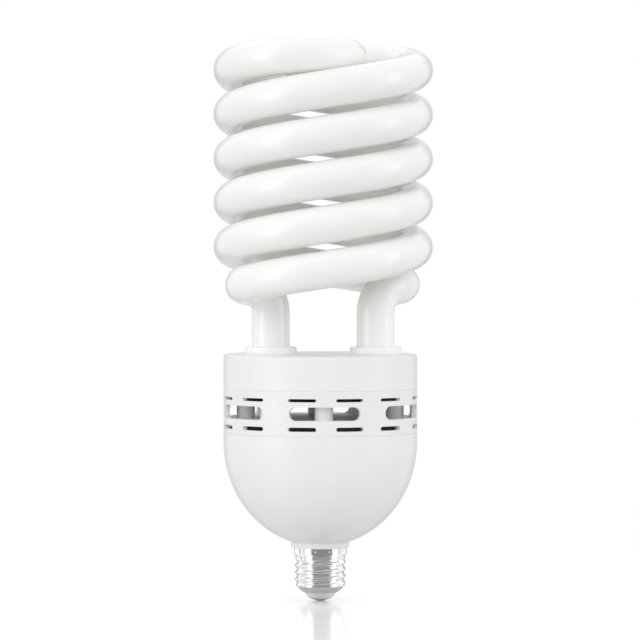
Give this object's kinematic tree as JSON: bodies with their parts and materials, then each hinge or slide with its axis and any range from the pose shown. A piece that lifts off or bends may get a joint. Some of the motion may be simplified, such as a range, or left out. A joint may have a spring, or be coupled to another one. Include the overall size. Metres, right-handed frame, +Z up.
{
  "type": "spiral energy saving bulb",
  "caption": "Large spiral fluorescent lamp: a white double-helix glass tube on a vented ballast housing with a bowl-shaped base and a screw cap.",
  "frame": {"origin": "tip of the centre contact, on the axis of the screw cap", "axes": "+Z up along the cap's axis to the coil; the lamp is seen from the front along +Y, with +X to the right"},
  "size_m": [0.1128, 0.1128, 0.2884],
  "materials": {
    "phosphor_glass": "gloss over an opaque white coating",
    "white_housing": "gloss",
    "white_cover": "gloss",
    "nickel_cap": "nickel plate, bright",
    "cap_insulator": "satin",
    "contact_metal": "tinned, satin",
    "cement": "matte",
    "board": "resin bonded paper laminate",
    "ferrite": "matte",
    "bobbin": "matte",
    "enamelled_copper": "enamelled",
    "capacitor_sleeve": "shrunk sleeve",
    "film_capacitor": "dipped resin",
    "transistor_case": "moulded",
    "sink_plate": "mill finish",
    "diode_case": "moulded",
    "fuse_body": "matte",
    "resistor_body": "lacquered",
    "thermistor_disc": "matte",
    "filament_wire": "silicone sleeve",
    "live_wire": "sleeve",
    "neutral_wire": "sleeve"
  },
  "bodies": {
    "root": {"spiral_tube": "phosphor_glass", "tube_cement": "cement", "tube_cover": "white_cover", "vent_ring": "white_housing", "heat_shield": "white_housing", "ballast_lid": "white_housing", "ballast_housing": "white_housing", "screw_shell": "nickel_cap", "cap_insulator": "cap_insulator", "centre_contact": "contact_metal", "circuit_board": "board", "choke_core": "ferrite", "choke_bobbin": "bobbin", "choke_winding": "enamelled_copper", "bulk_capacitor": "capacitor_sleeve", "resonant_capacitor": "film_capacitor", "film_capacitors": "film_capacitor", "drive_core": "ferrite", "drive_windings": "enamelled_copper", "power_transistors": "transistor_case", "heat_sinks": "sink_plate", "rectifier_diodes": "diode_case", "fuse_resistor": "fuse_body", "resistors": "resistor_body", "filter_core": "ferrite", "filter_winding": "enamelled_copper", "preheat_thermistor": "thermistor_disc", "filament_lead_left_front": "filament_wire", "filament_lead_left_back": "filament_wire", "filament_lead_right_front": "filament_wire", "filament_lead_right_back": "filament_wire", "live_lead": "live_wire", "neutral_lead": "neutral_wire"}
  },
  "joints": []
}
